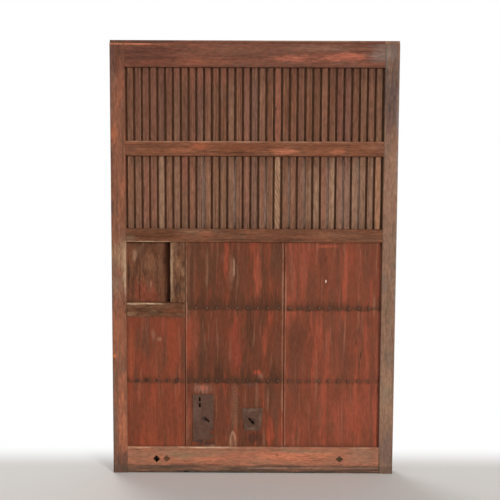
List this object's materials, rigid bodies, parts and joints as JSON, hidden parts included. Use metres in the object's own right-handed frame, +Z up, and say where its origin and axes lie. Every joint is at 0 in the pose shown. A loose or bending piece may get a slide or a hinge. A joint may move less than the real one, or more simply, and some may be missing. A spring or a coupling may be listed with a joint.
{
  "type": "sliding storehouse door",
  "caption": "Old wooden sliding storehouse door leaf: slatted upper half, boards below with a recessed hand pull, iron lock plates over drop bolts, and wheels sunk in the bottom rail.",
  "frame": {"origin": "middle of the leaf's bottom edge, half way through its depth", "axes": "+Z up along the stiles, +X to the right of a person facing the door, front face towards -Y"},
  "size_m": [1.15, 0.048, 1.755],
  "materials": {
    "left_stile_wood": "worn, matt",
    "right_stile_wood": "worn, matt",
    "top_rail_wood": "worn, matt",
    "upper_rail_wood": "worn, matt",
    "lower_rail_wood": "worn, matt",
    "bottom_rail_wood": "worn, matt",
    "left_board_wood": "worn, matt",
    "centre_board_wood": "worn, matt",
    "right_board_wood": "worn, matt",
    "lattice_back_wood": "worn, matt",
    "batten_wood": "worn, matt",
    "pull_wood": "worn, matt",
    "pull_back_wood": "worn, matt",
    "slat_wood": "worn, matt",
    "bolt_wood": "worn, matt",
    "wheel_wood": "worn, matt",
    "plug_wood": "worn, matt",
    "nail_iron": "rusted, matt",
    "plate_iron": "rusted, matt",
    "axle_iron": "rusted, matt"
  },
  "bodies": {
    "leaf": {"left_stile": "left_stile_wood", "right_stile": "right_stile_wood", "top_rail": "top_rail_wood", "upper_middle_rail": "upper_rail_wood", "lower_middle_rail": "lower_rail_wood", "bottom_rail": "bottom_rail_wood", "left_board": "left_board_wood", "centre_board": "centre_board_wood", "right_board": "right_board_wood", "lattice_back_boards": "lattice_back_wood", "upper_batten": "batten_wood", "lower_batten": "batten_wood", "pull_post": "pull_wood", "pull_sill": "pull_wood", "pull_back_board": "pull_back_wood", "board_nails": "nail_iron", "plate_nails": "nail_iron", "left_lock_plate": "plate_iron", "right_lock_plate": "plate_iron", "left_bolt_case": "batten_wood", "right_bolt_case": "batten_wood", "wheel_axles": "axle_iron", "axle_plugs": "plug_wood", "slat_01": "slat_wood", "slat_02": "slat_wood", "slat_03": "slat_wood", "slat_04": "slat_wood", "slat_05": "slat_wood", "slat_06": "slat_wood", "slat_07": "slat_wood", "slat_08": "slat_wood", "slat_09": "slat_wood", "slat_10": "slat_wood", "slat_11": "slat_wood", "slat_12": "slat_wood", "slat_13": "slat_wood", "slat_14": "slat_wood", "slat_15": "slat_wood", "slat_16": "slat_wood", "slat_17": "slat_wood", "slat_18": "slat_wood", "slat_19": "slat_wood", "slat_20": "slat_wood", "slat_21": "slat_wood", "slat_22": "slat_wood", "slat_23": "slat_wood", "slat_24": "slat_wood", "slat_25": "slat_wood", "slat_26": "slat_wood", "slat_27": "slat_wood", "slat_28": "slat_wood", "slat_29": "slat_wood", "slat_30": "slat_wood", "slat_31": "slat_wood", "slat_32": "slat_wood", "slat_33": "slat_wood"},
    "left_wheel": {"left_wheel": "wheel_wood"},
    "right_wheel": {"right_wheel": "wheel_wood"},
    "left_bolt": {"left_drop_bolt": "bolt_wood"},
    "right_bolt": {"right_drop_bolt": "bolt_wood"}
  },
  "joints": [
    {"name": "left_wheel_spin", "type": "hinge", "parent": "leaf", "child": "left_wheel", "pos_m": [-0.356, 0, 0.06], "axis": [0, 1, 0], "continuous": true},
    {"name": "right_wheel_spin", "type": "hinge", "parent": "leaf", "child": "right_wheel", "pos_m": [0.356, 0, 0.06], "axis": [0, 1, 0], "continuous": true},
    {"name": "left_bolt_drop", "type": "slide", "parent": "leaf", "child": "left_bolt", "axis": [0, 0, -1], "range_m": [0, 0.04]},
    {"name": "right_bolt_drop", "type": "slide", "parent": "leaf", "child": "right_bolt", "axis": [0, 0, -1], "range_m": [0, 0.04]}
  ]
}
